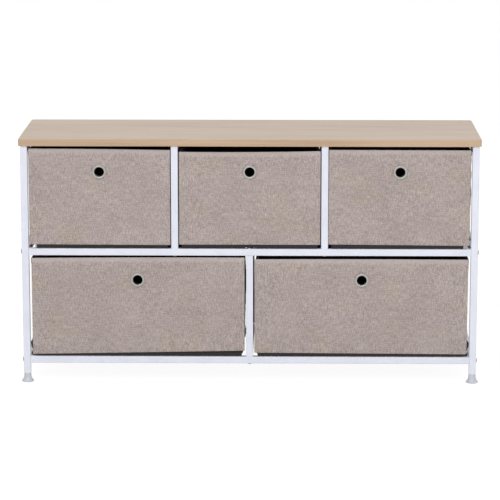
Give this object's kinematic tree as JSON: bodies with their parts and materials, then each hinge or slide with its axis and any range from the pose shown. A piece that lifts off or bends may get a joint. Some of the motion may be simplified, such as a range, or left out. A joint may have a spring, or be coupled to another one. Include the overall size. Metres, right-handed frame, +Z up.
{
  "type": "fabric drawer dresser",
  "caption": "Wide low dresser with a square-tube steel frame, a wood-look top board, sliding fabric drawers with eyelet finger pulls and flared levelling feet.",
  "frame": {"origin": "on the floor, under the middle of the top board", "axes": "+X towards the dresser's right side seen from the front, -Y towards its front, +Z up"},
  "size_m": [1.004, 0.304, 0.54],
  "materials": {
    "board": "satin wood-look laminate, pale maple, fine grain along the length",
    "frame_paint": "satin white powder coat",
    "bolt": "domed heads, pale zinc",
    "screw": "zinc plated",
    "plug": "moulded nylon",
    "foot": "satin pale grey moulded plastic",
    "linen": "greige linen-look weave over a stiff board",
    "bin_fabric": "black non-woven fabric",
    "base_board": "thin board wrapped in black fabric",
    "eyelet": "polished nickel plate"
  },
  "bodies": {
    "frame": {"top_board": "board", "front_left_post": "frame_paint", "front_right_post": "frame_paint", "rear_left_post": "frame_paint", "rear_right_post": "frame_paint", "left_top_rail": "frame_paint", "left_middle_rail": "frame_paint", "left_bottom_rail": "frame_paint", "right_top_rail": "frame_paint", "right_middle_rail": "frame_paint", "right_bottom_rail": "frame_paint", "front_middle_rail": "frame_paint", "front_bottom_rail": "frame_paint", "rear_middle_rail": "frame_paint", "rear_bottom_rail": "frame_paint", "front_left_divider": "frame_paint", "rear_left_divider": "frame_paint", "front_right_divider": "frame_paint", "rear_right_divider": "frame_paint", "left_divider_top_rail": "frame_paint", "left_divider_foot_rail": "frame_paint", "right_divider_top_rail": "frame_paint", "right_divider_foot_rail": "frame_paint", "front_lower_divider": "frame_paint", "rear_lower_divider": "frame_paint", "lower_divider_top_rail": "frame_paint", "lower_divider_foot_rail": "frame_paint", "frame_bolts": "bolt", "upper_divider_bolts": "bolt", "lower_divider_bolts": "bolt", "board_screws": "screw", "rail_plugs": "plug", "upper_divider_plugs": "plug", "lower_divider_plugs": "plug", "foot_inserts": "plug"},
    "upper_left_drawer": {"upper_left_front_panel": "linen", "upper_left_bin": "bin_fabric", "upper_left_base_board": "base_board", "upper_left_eyelet": "eyelet"},
    "upper_middle_drawer": {"upper_middle_front_panel": "linen", "upper_middle_bin": "bin_fabric", "upper_middle_base_board": "base_board", "upper_middle_eyelet": "eyelet"},
    "upper_right_drawer": {"upper_right_front_panel": "linen", "upper_right_bin": "bin_fabric", "upper_right_base_board": "base_board", "upper_right_eyelet": "eyelet"},
    "lower_left_drawer": {"lower_left_front_panel": "linen", "lower_left_bin": "bin_fabric", "lower_left_base_board": "base_board", "lower_left_eyelet": "eyelet"},
    "lower_right_drawer": {"lower_right_front_panel": "linen", "lower_right_bin": "bin_fabric", "lower_right_base_board": "base_board", "lower_right_eyelet": "eyelet"},
    "front_left_foot_body": {"front_left_foot": "foot"},
    "front_right_foot_body": {"front_right_foot": "foot"},
    "rear_left_foot_body": {"rear_left_foot": "foot"},
    "rear_right_foot_body": {"rear_right_foot": "foot"}
  },
  "joints": [
    {"name": "upper_left_drawer_slide", "type": "slide", "parent": "frame", "child": "upper_left_drawer", "axis": [0, -1, 0], "range_m": [0, 0.24]},
    {"name": "upper_middle_drawer_slide", "type": "slide", "parent": "frame", "child": "upper_middle_drawer", "axis": [0, -1, 0], "range_m": [0, 0.24]},
    {"name": "upper_right_drawer_slide", "type": "slide", "parent": "frame", "child": "upper_right_drawer", "axis": [0, -1, 0], "range_m": [0, 0.24]},
    {"name": "lower_left_drawer_slide", "type": "slide", "parent": "frame", "child": "lower_left_drawer", "axis": [0, -1, 0], "range_m": [0, 0.24]},
    {"name": "lower_right_drawer_slide", "type": "slide", "parent": "frame", "child": "lower_right_drawer", "axis": [0, -1, 0], "range_m": [0, 0.24]},
    {"name": "front_left_foot_turn", "type": "hinge", "parent": "frame", "child": "front_left_foot_body", "pos_m": [-0.4885, -0.1385, 0], "axis": [0, 0, -1], "range_deg": [0, 2304]},
    {"name": "front_right_foot_turn", "type": "hinge", "parent": "frame", "child": "front_right_foot_body", "pos_m": [0.4885, -0.1385, 0], "axis": [0, 0, -1], "range_deg": [0, 2304]},
    {"name": "rear_left_foot_turn", "type": "hinge", "parent": "frame", "child": "rear_left_foot_body", "pos_m": [-0.4885, 0.1385, 0], "axis": [0, 0, -1], "range_deg": [0, 2304]},
    {"name": "rear_right_foot_turn", "type": "hinge", "parent": "frame", "child": "rear_right_foot_body", "pos_m": [0.4885, 0.1385, 0], "axis": [0, 0, -1], "range_deg": [0, 2304]}
  ]
}
